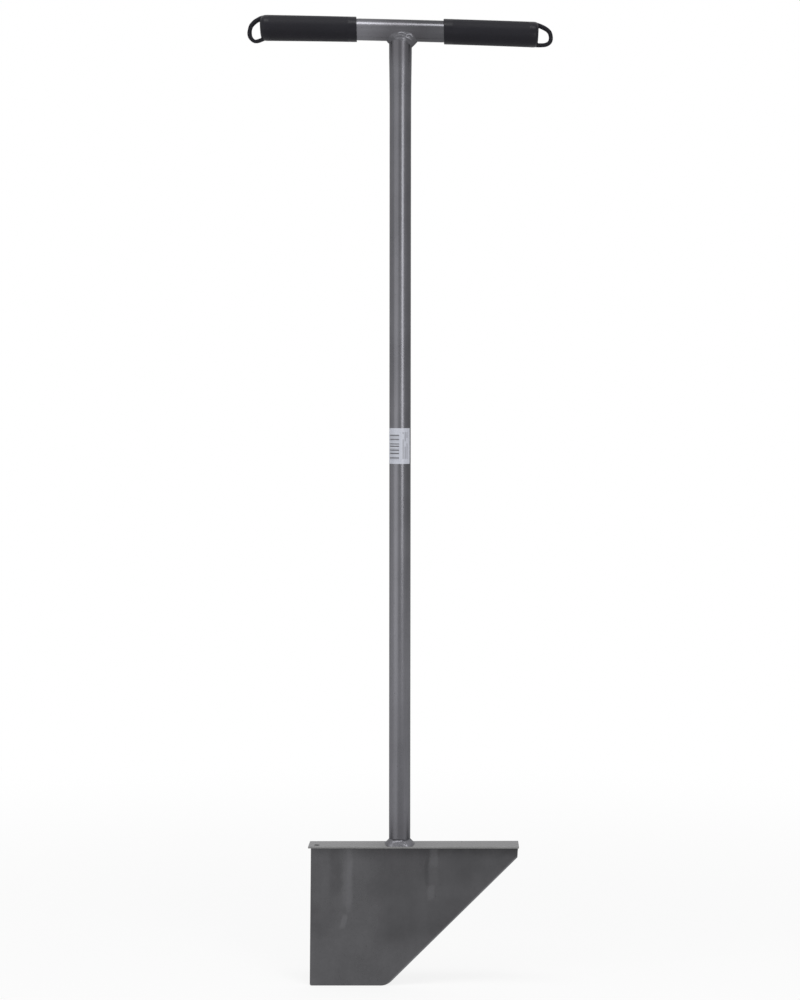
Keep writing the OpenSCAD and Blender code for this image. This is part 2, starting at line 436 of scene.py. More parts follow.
addPiece(
    "crossTube", buildMesh("crossTube", *carriedRound(barOutline, tool["roundSteps"])),
    [steelFinish("barSteel", bar, lambda steel: paintedLightBands(steel, bar["marksAndPaintedLight"]), barLook)],
    "cross_tube", bar["sharp"])

# how both sheets are made
sheet = {
    "edgeSteps": 4,  # of the arc that rounds an edge
    "faceWeight": 90,  # of broad faces in the shading
    "sharp": 60,
    "leastCorner": 0.3,  # keeps the inset short at a narrow corner
}


def insetLoop(loop, depth):
    # moves a loop of points to its left side, where the metal is
    moved = []
    for i, here in enumerate(loop):
        before, after = loop[i - 1], loop[(i + 1) % len(loop)]
        first, second = (here - before).normalized(), (after - here).normalized()
        sideA, sideB = Vector((-first.y, first.x)), Vector((-second.y, second.x))
        side = (sideA + sideB).normalized()
        moved.append(here + side * depth / max(side.dot(sideA), sheet["leastCorner"]))
    return moved


def sheetMesh(name, loops, low, high, edge, place):
    # sheet metal cut to loops, with rounded edges; faces round the edges get the second finish
    arc = [math.radians(90 * i / sheet["edgeSteps"]) for i in range(sheet["edgeSteps"] + 1)]
    levels = [(edge * (1 - math.sin(turn)), low + edge * (1 - math.cos(turn))) for turn in arc]
    levels += [(edge * (1 - math.sin(turn)), high - edge * (1 - math.cos(turn))) for turn in arc[::-1]]
    form = bmesh.new()
    ends = ([], [])
    for loop in loops:
        rows = [[form.verts.new(Vector(place(p.x, p.y, z)) * mm) for p in insetLoop(loop, depth)]
                for depth, z in levels]
        for upper, lower in zip(rows[1:], rows):
            for i in range(len(loop)):
                k = (i + 1) % len(loop)
                form.faces.new((lower[i], lower[k], upper[k], upper[i])).material_index = 1
        for end, row in zip(ends, (rows[0], rows[-1])):
            end += [form.edges.get((row[i], row[(i + 1) % len(row)])) for i in range(len(row))]
    for end in ends:
        bmesh.ops.triangle_fill(form, use_beauty=True, use_dissolve=False, edges=end)
    bmesh.ops.recalc_face_normals(form, faces=form.faces)
    mesh = bpy.data.meshes.new(name)
    form.to_mesh(mesh)
    form.free()
    return mesh


def evenNormals(piece):  # keeps broad faces flat next to rounded edges
    change = piece.modifiers.new("evenNormals", "WEIGHTED_NORMAL")
    change.weight = sheet["faceWeight"]
    change.keep_sharp = True


def arcPoints(centre, radius, start, end, steps):
    angles = [math.radians(mix(start, end, i / steps)) for i in range(steps + 1)]
    return [Vector((centre[0] + radius * math.cos(a), centre[1] + radius * math.sin(a))) for a in angles]


# tread: a flat strip with a punched hole in its left front corner
tread = {
    "left": -94.5, "right": 124.5, "depth": 32.0, "low": 148.0, "edge": 0.35, "edgeRough": 0.5,
    "corner": 0.5, "cornerSteps": 4, "skew": 1.0, "skewRight": 0.6, "twist": 0.5, "twistFrom": 18.0,
    "hole": (-86.5, -7.0), "holeRadius": 2.75, "holeSteps": 64, "grain": (6, 500, 500), "tone": 0.465,
    "spatter": (330, 1, 0.3), "spatterEdge": (0.73, 0.77), "spatterTone": 0.8,
    # reach and strength of the painted shade round the hole
    "holeShadeReach": (2.7, 3.5), "stainAndShadeTone": 0.6,
}


def treadLoops():
    radius, back = tread["corner"], tread["depth"] / 2 - tread["corner"]
    left, right = tread["left"] + radius, tread["right"] - radius
    corners = [(left - tread["skew"], -back, 180), (right, -back, 270),
               (right + tread["skewRight"], back, 0), (left, back, 90)]
    rim = []
    for x, y, start in corners:
        rim += arcPoints((x, y), radius, start, start + 90, tread["cornerSteps"])
    return [rim, arcPoints(tread["hole"], tread["holeRadius"], 360, 0, tread["holeSteps"])[:-1]]


def treadPlace(x, y, z):  # the heat of welding has lifted the back right corner
    along = max(0.0, (x - tread["twistFrom"]) / (tread["right"] - tread["twistFrom"]))
    return x, y, z + tread["twist"] * along * (y / tread["depth"] + 0.5)


def treadSpatterAndHoleShade(steel):  # spatter from the welding, and painted shade in and round the hole
    spatter = steel.between(steel.cloud(*tread["spatter"]), *tread["spatterEdge"])
    holeShade = steel.near((*tread["hole"], tool["treadTop"]), *tread["holeShadeReach"])
    return 0 - tread["spatterTone"] * spatter - tread["stainAndShadeTone"] * holeShade


# painted shade inside the hole
holeShadeSpot = {"spot": (*tread["hole"], (tread["low"] + tool["treadTop"]) / 2), "reach": (3.0, 3.6)}
evenNormals(addPiece(
    "treadPlate",
    sheetMesh("treadPlate", treadLoops(), tread["low"], tool["treadTop"], tread["edge"], treadPlace),
    [steelFinish("treadSteel", tread, treadSpatterAndHoleShade, treadLook),
     edgeFinish("treadEdge", tread["edgeRough"], holeShadeSpot)],
    "tread_plate", sheet["sharp"]))

# blade: flat sheet with one slanted side, the marks that the lacquer left as it ran down, painted shadow
# under the tread and a painted highlight along the slanted edge
# runs and stains: strength, left, right, low, high, softness, slope
blade = {
    "left": -94.4, "leftTop": -93.1, "right": 123.6, "rightTop": 124.3, "top": 148.0, "heel": 136.0,
    "toe": -13.3, "toeRadius": 16.0, "toeSteps": 24, "corner": 2.0, "cornerSteps": 10, "thick": 2.0,
    "edge": 0.3, "edgeRough": 0.3, "grain": (420, 420, 10), "tone": 0.365,
    "wander": 9, "wanderCloud": (45, 3, 0.6),
    "runTone": 0.24,
    "runs": [
        (0.6, -55.9, -50.4, 78, 152, 1.5, 0), (0.55, -60.5, -49.5, 86, 132, 2.5, 0),
        (1.0, -62, -56.7, 60.5, 74, 1.3, 0.22), (0.5, 32.2, 40, 109, 150, 2, 0),
        (0.6, 32, 40.2, 128, 152, 2, 0), (0.9, 30.2, 35.6, 91.5, 106, 1.5, 0),
    ],
    "stainAndShadeTone": 0.2,
    "stains": [
        (1.0, -73, -61, 96, 150, 4, 0), (0.7, 27, 31, 106, 134, 1.5, 0), (0.5, -110, -64, 58, 100, 9, 0),
    ],
    "marksAndPaintedLight": [
        (None, None, (130, 149), None, -0.24),  # painted shadow under the tread, darker on the right
        ((-52, -5), None, (130, 149), None, -0.14),
        # painted shadow right under the tread
        (None, None, (143, 148), None, -0.1),
        ((-52, -5), None, (20, 60), None, -0.2),  # darker on the right, but for the foot of the sheet
    ],
    "edgeHighlightLine": (-2.3, -0.5), "edgeHighlightTone": 0.8,  # painted highlight along the slanted edge
}
bladeSlant = math.atan2(blade["heel"], blade["right"] - blade["toe"])


def bladeMarksAndPaintedLight(steel):
    wander = blade["wander"] * mm * (steel.cloud(*blade["wanderCloud"]) - 0.5)
    x, z = steel.x + wander, steel.z + wander

    def patches(rows):
        total = 0.0
        for share, left, right, low, high, soft, slope in rows:
            line = x - slope * (z - (low + high) / 2 * mm)
            across = steel.band(line, fade(left, soft), fade(right, soft))
            total = total + share * across * steel.band(z, fade(low, 2 * soft), fade(high, 2 * soft))
        return total

    front = steel.band(steel.y, outOf=(-blade["thick"] / 2, 0))
    lacquer = blade["runTone"] * patches(blade["runs"]) - blade["stainAndShadeTone"] * patches(blade["stains"])
    past = (steel.x - blade["toe"] * mm) * math.sin(bladeSlant) - steel.z * math.cos(bladeSlant)
    # painted highlight along the slanted edge
    cut = blade["edgeHighlightTone"] * steel.band(past, blade["edgeHighlightLine"])
    return front * lacquer + paintedLightBands(steel, blade["marksAndPaintedLight"]) + cut


def bladeLoop():
    slant, corner, toe = math.degrees(bladeSlant), blade["corner"], blade["toeRadius"]
    tip = toe * math.tan(bladeSlant / 2)
    return ([Vector((blade["leftTop"], blade["top"]))]
            + arcPoints((blade["left"] + corner, corner), corner, 180, 270, blade["cornerSteps"])
            + arcPoints((blade["toe"] - tip, toe), toe, 270, 270 + slant, blade["toeSteps"])
            + [Vector((blade["right"], blade["heel"])), Vector((blade["rightTop"], blade["top"]))])


evenNormals(addPiece(
    "blade",
    sheetMesh("blade", [bladeLoop()], -blade["thick"] / 2, blade["thick"] / 2, blade["edge"],
              lambda x, z, depth: (x, depth, z)),
    [steelFinish("bladeSteel", blade, bladeMarksAndPaintedLight, bladeLook), edgeFinish("bladeEdge", blade["edgeRough"])],
    "blade", sheet["sharp"]))

# weld beads, laid in overlapping scales that rise slowly and end in a short step
beadForm = {"ripple": 0.3, "bow": 0.3, "step": 0.25, "seed": 7.3, "sharp": 80}
beadLook = {
    "dark": 0.06, "light": 0.13, "haze": (120, 4, 0.6), "hazeRough": 0.16, "grit": (900, 3, 0.6),
    "soot": (0.045, 0.043, 0.048, 1.0), "sootCloud": (210, 3, 0.6), "sootEdge": (0.55, 0.72),
    # where the painted shade on the middle of the front lies
    "sootShare": 0.4, "sootRough": 0.15, "frontShadeDeep": (-14, -8), "frontShadeWide": (5, 10),
    "metallic": 0.9, "roughness": 0.26, "relief": 0.012, "gritRelief": 0.4, "hazeRelief": 0.6,
    "rim": 0.35, "coat": 0.15, "coatRoughness": 0.15, "coatIndex": 1.45,
}


def scaleMark(count, share):
    part = (count + beadForm["bow"] * math.sin(math.pi * share)) % 1.0
    return beadForm["ripple"] * (min(part / (1 - beadForm["step"]), (1 - part) / beadForm["step"]) - 0.5)


def lump(point, size, depth):
    return depth * noise.noise(Vector(point) / size + Vector((beadForm["seed"], 0, 0)))


def beadFinish(name, weld, glint=None):
    look, tint = beadLook, steelLook["tint"]
    bead = Finish(bpy.data.materials.new(name))
    haze = bead.cloud(*look["haze"])
    grit = bead.cloud(*look["grit"])
    soot = bead.between(bead.cloud(*look["sootCloud"]), *look["sootEdge"])
    dark, light = [grey(look[level] * weld["tone"], tint) for level in ("dark", "light")]
    colour = bead.blend(look["sootShare"] * soot, bead.blend(haze, dark, light), look["soot"])
    if glint:  # painted shade on the middle of the front, and a painted glint on the crests
        middle = bead.band(bead.y, outOf=look["frontShadeDeep"])
        middle = middle * bead.band(abs(bead.x), outOf=look["frontShadeWide"])
        colour = bead.blend(middle, colour, grey(weld["frontShadeTone"]), "MULTIPLY")
        colour = bead.blend(glint(bead), colour, grey(weld["paintedGlint"], tint))
    rough = look["roughness"] + look["hazeRough"] * haze + look["sootRough"] * soot
    height = look["gritRelief"] * grit + look["hazeRelief"] * haze
    return bead.surface({
        "Base Color": colour, "Metallic": look["metallic"], "Roughness": rough,
        "Normal": bead.bump(height, look["relief"]), "Specular Tint": grey(look["rim"]),
        "Coat Weight": look["coat"], "Coat Roughness": look["coatRoughness"], "Coat IOR": look["coatIndex"]})


# the foot bead spreads to a rounded square, held back by the edges of the tread
footWeld = {
    "side": 15.9, "front": 15.5, "square": 5.0, "narrow": 0.22, "climb": 5.6, "lift": 0.22, "full": 0.8,
    "legSway": 0.03, "legFrom": math.radians(50), "climbSway": 0.06, "climbFrom": math.radians(20),
    "crown": 0.1, "lumpSize": 3.0, "lumps": 0.096, "scales": 26, "scaleRise": 0.25,
    "swellOut": 0.75, "swellUp": 0.65,
    "drop": (2.0, -12.6, 155.7),  # one drop, a small lump with a painted glint on it
    "dropSize": 1.2, "dropRise": 0.45, "dropGlintReach": (0.7, 1.5),
    # painted shade on the middle of the front, and the grey of the painted glint
    "tone": 1.75, "frontShadeTone": 0.75, "paintedGlint": 0.32, "steps": 480, "face": 24,
}


def footOutline(turn):
    weld, tube, top = footWeld, tool["tubeRadius"], tool["treadTop"]
    front = max(0.0, -math.sin(turn))
    side = weld["side"] * (1 - weld["narrow"] * front)
    spread = (abs(math.cos(turn)) / side) ** weld["square"]
    spread += (abs(math.sin(turn)) / weld["front"]) ** weld["square"]
    leg = spread ** (-1 / weld["square"]) - tube
    leg *= 1 - weld["legSway"] + weld["legSway"] * math.sin(3 * turn + weld["legFrom"])
    climb = weld["climb"] * (1 + weld["climbSway"] * math.sin(2 * turn + weld["climbFrom"]))
    climb *= 1 + weld["lift"] * front ** 2
    full = weld["full"] * front ** 2
    outline = [onShaft(turn, weldRadius, top), onShaft(turn, weldRadius, top + climb)]
    for j in range(1, weld["face"]):
        share = j / weld["face"]
        bulge = share * math.pi / 2
        reach = mix(weldRadius, tube + leg, mix(share, math.sin(bulge), full))
        flat = onShaft(turn, reach, top + climb * mix(1 - share, math.cos(bulge), full))
        swell = weld["crown"] + lump(flat, weld["lumpSize"], weld["lumps"])
        swell += weld["scaleRise"] * scaleMark(weld["scales"] * turn / (2 * math.pi), share)
        if flat.y < 0:
            away = math.hypot(flat.x - weld["drop"][0], flat.z - weld["drop"][2]) / weld["dropSize"]
            swell += weld["dropRise"] * math.exp(-away ** 2)
        swell *= math.sin(math.pi * share)
        outline.append(onShaft(turn, reach + weld["swellOut"] * swell, flat.z + weld["swellUp"] * swell))
    outline.append(onShaft(turn, tube + leg, top))
    return outline


# painted glint round the drop
def footGlint(bead):
    return bead.near(footWeld["drop"], *footWeld["dropGlintReach"])


addPiece("footWeld", buildMesh("footWeld", *carriedRound(footOutline, footWeld["steps"])),
         [beadFinish("footBead", footWeld, footGlint)], "foot_weld", beadForm["sharp"])

# tee bead, round the saddle line between shaft and cross tube
# ridges are crescents on its front: centre x and z, radius, first and last angle, height
teeWeld = {
    "legLeft": 3.2, "legRight": 7.0, "frontShort": 0.9, "downLeg": 0.9, "downFront": 0.2, "rootDrop": 0.2,
    "crown": 0.1, "frontCrown": 0.3, "lumpSize": 3.0, "lumps": 0.072, "scales": 11, "scaleRise": 0.1,
    "ridges": [
        (1.3, 985.6, 7.4, 63, 117, 0.55), (0.0, 980.0, 10.4, 70, 110, 0.25), (0.0, 976.8, 10.4, 70, 110, 0.2),
        (9.0, 987.2, 3.9, 20, 140, 0.6), (1.5, 972.8, 16.2, 54, 76, 0.5),
    ],
    "ridgeWidth": 0.7, "ridgeFade": 20, "crestLine": (0.25, 0.8), "crestFull": 0.5, "crestFront": (-2, 0),
    # the grey of the painted glint on the crescents
    "tone": 0.9, "frontShadeTone": 1.0, "paintedGlint": 0.2, "steps": 640, "rise": 8, "face": 56,
}


def ridgeMark(point):
    height = 0.0
    for x, z, radius, first, last, rise in teeWeld["ridges"]:
        angle = math.degrees(math.atan2(point.z - z, point.x - x)) % 360
        begun = max(0.0, (angle - first) / teeWeld["ridgeFade"] + 0.5)
        left = max(0.0, (last - angle) / teeWeld["ridgeFade"] + 0.5)
        away = (math.hypot(point.x - x, point.z - z) - radius) / teeWeld["ridgeWidth"]
        height += rise * min(1.0, begun, left) * math.exp(-away ** 2)
    return height if point.y < 0 else 0.0


def barSpot(x, turn):
    return onBar(x, weldRadius * math.sin(turn), -weldRadius * math.cos(turn))


def teeOutline(turn):
    weld, tube, drop = teeWeld, tool["tubeRadius"], tool["earDrop"] - tool["weldGap"]
    saddle = tool["barHeight"] - tube * (abs(math.cos(turn)) + math.cos(turn) * leanSin) / leanCos
    cut = saddle > shaftTop
    edge = min(saddle, shaftTop)
    front = math.sin(turn) ** 2
    leg = mix(weld["legLeft"], weld["legRight"], (1 + math.cos(turn)) / 2)
    if cut:
        earX = tool["boreRadius"] * math.cos(turn) / abs(math.sin(turn))
        earTurn = math.acos((drop - earX * leanSin) / weldRadius / leanCos)
        start = math.copysign(earTurn, math.sin(turn))
        reach = weldRadius * math.sin(earTurn) / abs(math.sin(turn))
    else:
        start, reach = math.asin(math.sin(turn)), weldRadius
    rootX = reach * math.cos(turn) * leanCos - (edge - tool["barHeight"]) * leanSin
    climb = leg - weld["frontShort"] * front
    ways = [climb * j / weld["rise"] for j in range(weld["rise"] + 1)]
    outline = [barSpot(rootX + way * math.cos(turn), start + way * math.sin(turn) / tube) for way in ways]
    high = outline[-1]
    low = onShaft(turn, weldRadius, edge - leg * (weld["downLeg"] + weld["downFront"] * front))
    out = Vector((math.cos(turn), math.sin(turn), front - 1))
    for j in range(1, weld["face"]):
        share = j / weld["face"]
        flat = high.lerp(low, share)
        swell = weld["crown"] + weld["frontCrown"] * front + lump(flat, weld["lumpSize"], weld["lumps"])
        swell += weld["scaleRise"] * scaleMark(weld["scales"] * turn / (2 * math.pi), share)
        swell += ridgeMark(flat)
        outline.append(flat + out * math.sin(math.pi * share) * swell)
    root = edge + tool["weldGap"] if cut else edge - weld["rootDrop"]
    return outline + [low, onShaft(turn, weldRadius, root)]


def teeGlint(bead):  # painted highlights on the same crescents as ridgeMark, as a mask
    soft, quarter = math.radians(teeWeld["ridgeFade"] / 2), math.radians(90)
    mask = 0.0
    for x, z, radius, first, last, rise in teeWeld["ridges"]:
        across, up = bead.x - x * mm, bead.z - z * mm
        turn = (0 - across).angle(up)  # from straight up, to the left
        line = bead.band(abs((across * across + up * up) ** 0.5 - radius * mm), outOf=teeWeld["crestLine"])
        ends = fade(math.radians(first) - quarter, soft), fade(math.radians(last) - quarter, soft)
        mask = mask + min(1.0, rise / teeWeld["crestFull"]) * line * bead.band(turn, *ends, unit=1)
    return mask.atMost(1.0) * bead.band(bead.y, outOf=teeWeld["crestFront"])


addPiece("teeWeld", buildMesh("teeWeld", *carriedRound(teeOutline, teeWeld["steps"])),
         [beadFinish("teeBead", teeWeld, teeGlint)], "tee_weld", beadForm["sharp"])

# short beads between blade and tread, in front and behind
stitches = {"leg": 3.0, "length": 24.0, "centres": (-53.0, 36.0), "endSize": 0.35, "blunt": 4, "crown": 0.3,
            "lumpSize": 2.2, "lumps": 0.12, "scales": 9, "swell": 0.7, "tone": 1.2, "steps": 110, "face": 10}


def stitchOutline(share, centre, side):
    along, wall, under = share - 0.5, blade["thick"] / 2, tread["low"]
    taper = math.sqrt(max(0, 1 - (2 * along) ** stitches["blunt"]))
    size = stitches["leg"] * mix(stitches["endSize"], 1, taper)
    x = centre + along * stitches["length"]
    outline = [Vector((x, side * wall, under)), Vector((x, side * (wall + size), under))]
    for j in range(1, stitches["face"]):
        part = j / stitches["face"]
        flat = Vector((x, side * (wall + size * (1 - part)), under - size * part))
        swell = stitches["crown"] + scaleMark(stitches["scales"] * along, part)
        swell += lump(flat, stitches["lumpSize"], stitches["lumps"])
        swell *= stitches["swell"] * math.sin(math.pi * part)
        outline.append(flat + Vector((0, side * swell, -swell)))
    return outline + [Vector((x, side * wall, under - size))]


def stitchSkin(centre, side):
    return carriedAlong(lambda share: stitchOutline(share, centre, side), stitches["steps"])


stitchSkins = [stitchSkin(centre, side) for centre in stitches["centres"] for side in (-1, 1)]
addPiece("stitchWelds", buildMesh("stitchWelds", *joined(*stitchSkins)),
         [beadFinish("stitchBead", stitches)], "stitch_welds", beadForm["sharp"])

# label wrapped round the shaft, with a block of plain stripes on the left and three broken lines on the right
# places on the label are heights above its lower edge and ways round from the front, to the right
label = {
    "low": 549.0, "high": 586.0, "start": -258.4, "end": -28.5, "inner": 11.02, "thick": 0.15,
    "waveSize": 9, "wave": 0.02, "stepsRound": 150, "stepsUp": 48, "sharp": 30,
    "printEdge": 0.1, "blockUp": (3.5, 30.5), "blockAcross": (-13.1, -0.8),
    "stripe": 3.9, "stripeHalf": (0.12, 0.2), "stripePlace": (0.2, 0.8), "stripeInk": (0.75, 1.0),
    "stripeSeed": 3.5, "thinStripe": 1.15, "thinInk": 0.32, "thinSeed": 40.5,
    "linesUp": (5.1, 33.1), "linesAcross": (2.25, 8.75), "lineStep": 2.2, "lineHalf": (0.16, 0.3),
    "dashStep": 5.5, "dashShift": 0.37, "gapShare": 0.35,
    "dark": (0.381, 0.396, 0.453, 1.0), "light": (0.505, 0.52, 0.574, 1.0),
    "fibre": (900, 3, 0.6), "fibreShare": 0.4, "haze": (60, 3, 0.5), "hazeRough": 0.2,
    "ink": (0.035, 0.035, 0.04, 1.0), "inkShare": 0.94, "lineInk": (0.15, 0.15, 0.17, 1.0), "lineShare": 0.7,
    "roughness": 0.42, "relief": 0.05, "coat": 0.15, "coatRoughness": 0.3,
}


def labelFinish(name):
    paper = Finish(bpy.data.materials.new(name))
    up = (paper.z - label["low"] * mm) / mm
    across = paper.x.angle(0 - paper.y) * tool["tubeRadius"]

    def chance(number):
        return paper.node("ShaderNodeTexWhiteNoise", {"noise_dimensions": "1D"}, {"W": number}, "Value")

    def printed(fromTo, value):
        return paper.band(value, *[fade(end, label["printEdge"]) for end in fromTo], unit=1)

    stripe = math.floor(up / label["stripe"])
    odds = chance(stripe + label["stripeSeed"])
    ink = abs(up / label["stripe"] - stripe - mix(*label["stripePlace"], odds))
    ink = (1 - paper.between(ink, *label["stripeHalf"])) * mix(*label["stripeInk"], odds)
    thin = chance(math.floor(up / label["thinStripe"]) + label["thinSeed"])
    block = printed(label["blockUp"], up) * printed(label["blockAcross"], across)
    block = block * ink.atLeast(label["thinInk"] * thin)
    column = math.floor(across / label["lineStep"])
    dash = math.floor(up / label["dashStep"] + label["dashShift"] * column)
    cell = paper.node("ShaderNodeCombineXYZ", {}, {"X": column, "Y": dash})
    drawn = paper.node("ShaderNodeTexWhiteNoise", {"noise_dimensions": "2D"}, {"Vector": cell}, "Value")
    middle = abs(across / label["lineStep"] - column - 0.5)
    lines = (drawn > label["gapShare"]) * (1 - paper.between(middle, *label["lineHalf"]))
    lines = lines * printed(label["linesUp"], up) * printed(label["linesAcross"], across)
    fibre, haze = paper.cloud(*label["fibre"]), paper.cloud(*label["haze"])
    weave = mix(haze, fibre, label["fibreShare"])
    colour = paper.blend(weave, label["dark"], label["light"])
    colour = paper.blend(label["inkShare"] * block, colour, label["ink"])
    colour = paper.blend(label["lineShare"] * lines, colour, label["lineInk"])
    return paper.surface({
        "Base Color": colour, "Roughness": label["roughness"] + label["hazeRough"] * (haze - 0.5),
        "Normal": paper.bump(label["fibreShare"] * fibre + haze, label["relief"]),
        "Coat Weight": label["coat"], "Coat Roughness": label["coatRoughness"]})


def labelOutline(share):
    turn = math.radians(mix(label["start"], label["end"], share))
    heights = [mix(label["low"], label["high"], i / label["stepsUp"]) for i in range(label["stepsUp"] + 1)]
    outer = []
    for z in heights:
        wave = lump((turn * tool["tubeRadius"], 0, z), label["waveSize"], label["wave"])
        outer.append(onShaft(turn, label["inner"] + label["thick"] + wave, z))
    return outer + [onShaft(turn, label["inner"], z) for z in heights[::-1]]


addPiece("label", buildMesh("label", *carriedAlong(labelOutline, label["stepsRound"])),
         [labelFinish("labelPaper")], "label", label["sharp"])

# grips: a sleeve with smooth bands, and a soft end cap that carries the hanging eye
grip = {
    "bore": 11.05, "cap": 3.0, "dome": 0.35, "band": 9.0, "bandEdge": 0.35, "bandFillet": 0.25, "fillet": 0.3,
    "fieldDrop": 0.08, "fieldShares": (0.75, 0.6, 0.45, 0.3, 0.2), "lip": 0.8, "tuck": 1.0,
    "steps": 144, "voxel": 0.36, "ease": 0.5, "easeRounds": 7, "sharp": 50,
    "eyeWidth": 1.15, "eyeSteps": 28, "eyeStretch": 8, "filletSteps": 5,
}
gripLook = {
    "dark": (0.0069, 0.0067, 0.0094, 1.0), "light": (0.012, 0.0116, 0.0156, 1.0),
    "haze": (55, 4, 0.6), "hazeRough": 0.12, "fine": (1500, 3, 0.6), "fineRelief": 0.25, "fieldFine": 0.1,
    "rubbed": (0.02, 0.0195, 0.023, 1.0), "rub": (90, 4, 0.65), "rubStretch": (0.35, 1, 1),
    "rubEdge": (0.56, 0.75), "rubShare": 0.3, "rubRough": 0.08,
    "cells": 1150, "cellSoft": 0.35, "relief": 0.1, "roughness": 0.36, "fieldRough": 0.2, "fieldEdge": 0.4,
    "tip": (7.5, 9.0), "tipRough": 0.28, "index": 1.5, "specular": 0.13,
}
# where each grip lies on the bar, its radius at the lip and at the closed end, the rounding of its cap,
# how far its two ends are askew, and the centre line of its eye:
# out from the end face, up from the bar's axis, half thickness
leftGrip = {
    "side": -1, "inner": 44.9, "end": 144.3, "lipRadius": 12.95, "endRadius": 13.35, "rim": 6.5,
    "tilt": 0.07, "lipTilt": 0.045,
    "eye": [
        (-7.0, 10.9, 2.35), (-3.6, 10.5, 2.45), (-0.6, 9.6, 2.6), (2.1, 8.3, 2.5), (5.9, 5.9, 2.5),
        (9.4, 1.95, 2.4), (10.75, -2.0, 2.25), (11.05, -6.0, 2.4), (10.4, -9.2, 2.27), (9.0, -11.4, 2.05),
        (7.0, -13.3, 1.9), (4.85, -14.1, 1.88), (1.85, -13.65, 2.05), (-1.2, -12.5, 2.1), (-4.5, -11.0, 2.1),
    ],
}
rightGrip = {
    "side": 1, "inner": 45.0, "end": 142.3, "lipRadius": 13.05, "endRadius": 13.15, "rim": 4.5,
    "tilt": 0.02, "lipTilt": -0.045,
    "eye": [
        (-7.0, 10.8, 2.25), (-3.0, 10.35, 2.4), (1.6, 9.05, 2.4), (5.45, 7.5, 2.42), (9.4, 5.3, 2.3),
        (12.1, 2.5, 2.27), (13.15, -0.7, 2.18), (13.4, -3.6, 2.17), (12.75, -6.55, 2.16), (10.7, -8.8, 2.12),
        (7.72, -10.12, 2.12), (4.4, -10.58, 2.11), (0.6, -10.74, 2.2), (-4.0, -10.7, 2.1),
    ],
}


def gripFinish(name, own):
    look = gripLook
    rubber = Finish(bpy.data.materials.new(name))
    run = abs(rubber.x)
    lipBand, endBand = own["inner"] + grip["band"], own["end"] - grip["band"]
    field = rubber.band(run, fade(lipBand, look["fieldEdge"]), fade(endBand, look["fieldEdge"]))
    tip = rubber.band(run, [endBand + way for way in look["tip"]])  # the end face and the eye are duller
    cellSockets = {"Vector": rubber.spot, "Scale": look["cells"], "Smoothness": look["cellSoft"]}
    cells = rubber.node("ShaderNodeTexVoronoi", {"feature": "SMOOTH_F1"}, cellSockets, "Distance")
    fine, haze = rubber.cloud(*look["fine"]), rubber.cloud(*look["haze"])
    rub = rubber.between(rubber.cloud(*look["rub"], look["rubStretch"]), *look["rubEdge"])
    colour = rubber.blend(haze, look["dark"], look["light"])
    colour = rubber.blend(look["rubShare"] * rub, colour, look["rubbed"])
    rough = look["roughness"] + look["fieldRough"] * field + look["tipRough"] * tip
    rough = rough + look["hazeRough"] * (haze - 0.5) + look["rubRough"] * rub
    height = field * (1 - cells) + (look["fineRelief"] - look["fieldFine"] * field) * fine
    return rubber.surface({
        "Base Color": colour, "Roughness": rough, "Normal": rubber.bump(height, look["relief"]),
        "IOR": look["index"], "Specular IOR Level": look["specular"]})


def rounded(corners):
    # a profile of (run, radius, rounding) corners with each corner rounded off
    steps = grip["filletSteps"]
    loop = []
    for i, (run, radius, fillet) in enumerate(corners):
        here = Vector((run, radius))
        before = Vector(corners[i - 1][:2]) - here
        after = Vector(corners[(i + 1) % len(corners)][:2]) - here
        if fillet <= 0:
            loop.append(here)
            continue
        first, second = here + before.normalized() * fillet, here + after.normalized() * fillet
        for k in range(steps + 1):
            t = k / steps
            loop.append(first * (1 - t) ** 2 + here * 2 * t * (1 - t) + second * t ** 2)
    return loop


def revolved(profile, place):
    def outlineAt(turn):
        return [place(p.x, p.y * math.cos(turn), p.y * math.sin(turn)) for p in profile]

    return carriedRound(outlineAt, grip["steps"])


def curvePoint(a, b, c, d, t):  # on the smooth curve through four stations, between b and c
    bend = (2 * a - 5 * b + 4 * c - d) * t ** 2 + (3 * b - a - 3 * c + d) * t ** 3
    return 0.5 * (2 * b + (c - a) * t + bend)


def eyeSkin(line, place):
    stations = [Vector(p) for p in line]
    stations = [2 * stations[0] - stations[1]] + stations + [2 * stations[-1] - stations[-2]]
    shares = [k / grip["eyeStretch"] for k in range(grip["eyeStretch"])]
    path = [curvePoint(*stations[i:i + 4], share) for i in range(len(stations) - 3) for share in shares]
    outlines = []
    for i, spot in enumerate(path):
        ahead = path[min(i + 1, len(path) - 1)] - path[max(i - 1, 0)]
        side = Vector((-ahead.y, ahead.x)).normalized() * spot.z
        outlines.append([place(spot.x + side.x * math.cos(a), grip["eyeWidth"] * spot.z * math.sin(a),
                               spot.y + side.y * math.cos(a)) for a in around(grip["eyeSteps"])])
    return skin(outlines, False)


def remeshed(name, points, faces):
    # melts overlapping closed forms into one soft moulding
    carrier = bpy.data.objects.new(name, buildMesh(name, points, faces))
    scene.collection.objects.link(carrier)
    melt = carrier.modifiers.new("melt", "REMESH")
    melt.mode = "VOXEL"
    melt.voxel_size = grip["voxel"] * mm
    ease = carrier.modifiers.new("ease", "SMOOTH")
    ease.factor = grip["ease"]
    ease.iterations = grip["easeRounds"]
    made = bpy.data.meshes.new_from_object(carrier.evaluated_get(bpy.context.evaluated_depsgraph_get()))
    bpy.data.objects.remove(carrier)
    return [v.co / mm for v in made.vertices], [tuple(p.vertices) for p in made.polygons]


